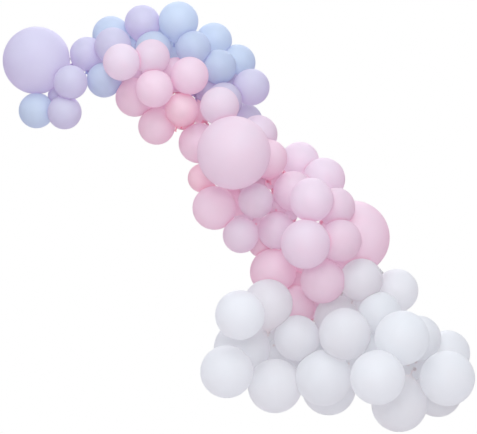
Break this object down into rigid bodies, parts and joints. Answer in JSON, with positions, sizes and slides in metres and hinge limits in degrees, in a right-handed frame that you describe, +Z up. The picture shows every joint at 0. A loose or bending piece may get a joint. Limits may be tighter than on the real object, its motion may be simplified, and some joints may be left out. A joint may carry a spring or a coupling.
{
  "type": "balloon arch",
  "caption": "Wall-hung arch of round latex balloons in lilac, sky blue, pinks and white, giant to small, packed together and tied to one bent plastic strip.",
  "frame": {"origin": "on the back of the strip's upper tab, behind the giant lilac balloon, where the upper wall hook carries it", "axes": "+X along the arch to the right as seen from the front, +Y towards the wall, +Z up"},
  "size_m": [2.69, 0.8886, 2.4586],
  "materials": {
    "latex_sky_blue": "satin",
    "latex_lilac": "satin",
    "latex_pink": "satin",
    "latex_pale_pink": "satin",
    "latex_rose": "satin",
    "latex_white": "satin",
    "strip_clear": "clear and glossy"
  },
  "bodies": {
    "root": {"blue_01_balloon": "latex_sky_blue", "blue_02_foursome": "latex_sky_blue", "blue_03_balloon": "latex_sky_blue", "blue_04_balloon": "latex_sky_blue", "blue_05_balloon": "latex_sky_blue", "blue_06_balloon": "latex_sky_blue", "blue_08_balloon": "latex_sky_blue", "blue_09_pair": "latex_sky_blue", "hanging_strip": "strip_clear", "lilac_01_balloon": "latex_lilac", "lilac_02_balloon": "latex_lilac", "lilac_03_pair": "latex_lilac", "lilac_04_balloon": "latex_lilac", "lilac_05_balloon": "latex_lilac", "lilac_06_balloon": "latex_lilac", "lilac_07_pair": "latex_lilac", "lilac_08_balloon": "latex_lilac", "lilac_09_pair": "latex_lilac", "pale_01_balloon": "latex_pale_pink", "pale_02_balloon": "latex_pale_pink", "pale_03_balloon": "latex_pale_pink", "pale_04_pair": "latex_pale_pink", "pale_05_pair": "latex_pale_pink", "pale_06_balloon": "latex_pale_pink", "pale_07_fivesome": "latex_pale_pink", "pale_08_balloon": "latex_pale_pink", "pale_09_balloon": "latex_pale_pink", "pale_11_pair": "latex_pale_pink", "pale_13_balloon": "latex_pale_pink", "pale_14_pair": "latex_pale_pink", "pale_15_balloon": "latex_pale_pink", "pink_01_pair": "latex_pink", "pink_02_balloon": "latex_pink", "pink_03_pair": "latex_pink", "pink_05_pair": "latex_pink", "pink_06_balloon": "latex_pink", "pink_07_pair": "latex_pink", "pink_08_pair": "latex_pink", "pink_09_pair": "latex_pink", "pink_10_balloon": "latex_pink", "pink_11_balloon": "latex_pink", "pink_12_foursome": "latex_pink", "rose_01_trio": "latex_rose", "rose_02_balloon": "latex_rose", "white_01_balloon": "latex_white", "white_02_balloon": "latex_white", "white_03_pair": "latex_white", "white_05_foursome": "latex_white", "white_06_balloon": "latex_white", "white_07_trio": "latex_white", "white_09_foursome": "latex_white", "white_11_balloon": "latex_white", "white_12_balloon": "latex_white", "white_13_balloon": "latex_white", "white_14_balloon": "latex_white", "white_17_balloon": "latex_white", "white_18_balloon": "latex_white", "white_19_balloon": "latex_white", "white_20_foursome": "latex_white"}
  },
  "joints": []
}
